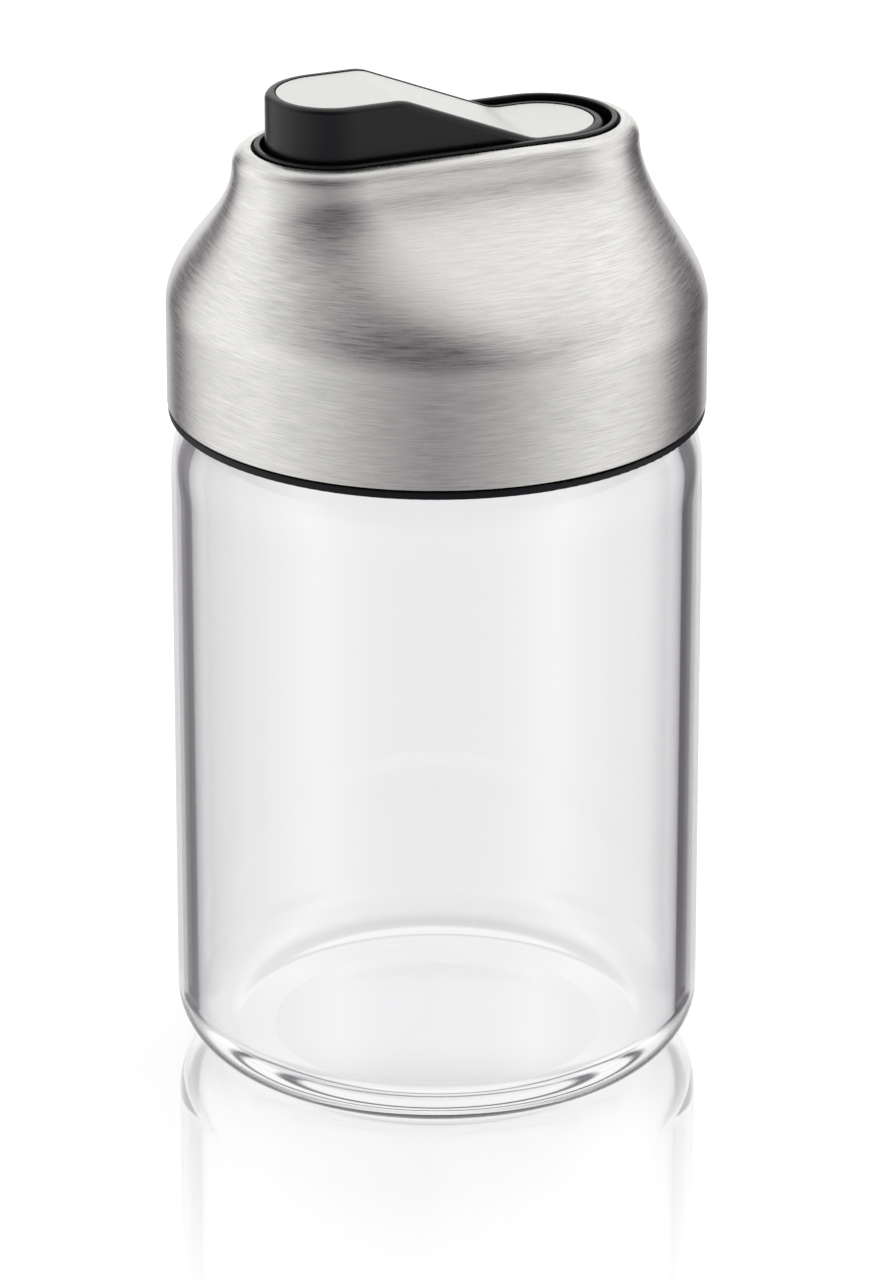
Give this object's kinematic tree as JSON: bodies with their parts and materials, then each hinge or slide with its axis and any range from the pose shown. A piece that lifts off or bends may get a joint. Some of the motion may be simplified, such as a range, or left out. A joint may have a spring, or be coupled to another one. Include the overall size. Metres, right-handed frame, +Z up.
{
  "type": "storage jar",
  "caption": "Clear glass storage jar with a brushed steel screw cap, oblong at its rolled rim, and a black rocker flap with a bent steel plate over a pouring hole.",
  "frame": {"origin": "middle of the base, on the plane that the jar stands on", "axes": "+Z up along the jar, +X towards the flap's press end, -X towards its pouring end"},
  "size_m": [0.106, 0.106, 0.2022],
  "materials": {
    "glass": "clear, polished",
    "silicone": "matte translucent silicone",
    "black_plastic": "satin moulded",
    "brushed_steel": "brushed round the cap",
    "plate_steel": "fine satin",
    "bright_steel": "bright turned"
  },
  "bodies": {
    "jar": {"glass_jar": "glass"},
    "seal": {"neck_seal": "silicone"},
    "cap": {"threaded_insert": "black_plastic", "steel_shell": "brushed_steel", "pour_tray": "black_plastic", "pour_seal": "silicone", "pour_funnel": "black_plastic", "tray_screws": "bright_steel", "hinge_pin": "bright_steel"},
    "flap": {"flap_body": "black_plastic", "flap_plate": "plate_steel", "flap_base": "black_plastic"}
  },
  "joints": [
    {"name": "cap_rise", "type": "slide", "parent": "jar", "child": "seal", "axis": [0, 0, 1], "range_m": [0, 0.0205]},
    {"name": "cap_turn", "type": "hinge", "parent": "seal", "child": "cap", "pos_m": [0, 0, 0.14], "axis": [0, 0, 1], "range_deg": [0, 1440]},
    {"name": "flap_tilt", "type": "hinge", "parent": "cap", "child": "flap", "pos_m": [0.004, 0, 0.1888], "axis": [0, 1, 0], "range_deg": [0, 20]}
  ],
  "couplings": [
    {"joint": "cap_rise", "follows": "cap_turn", "m_per_rad": 0.00079577}
  ]
}
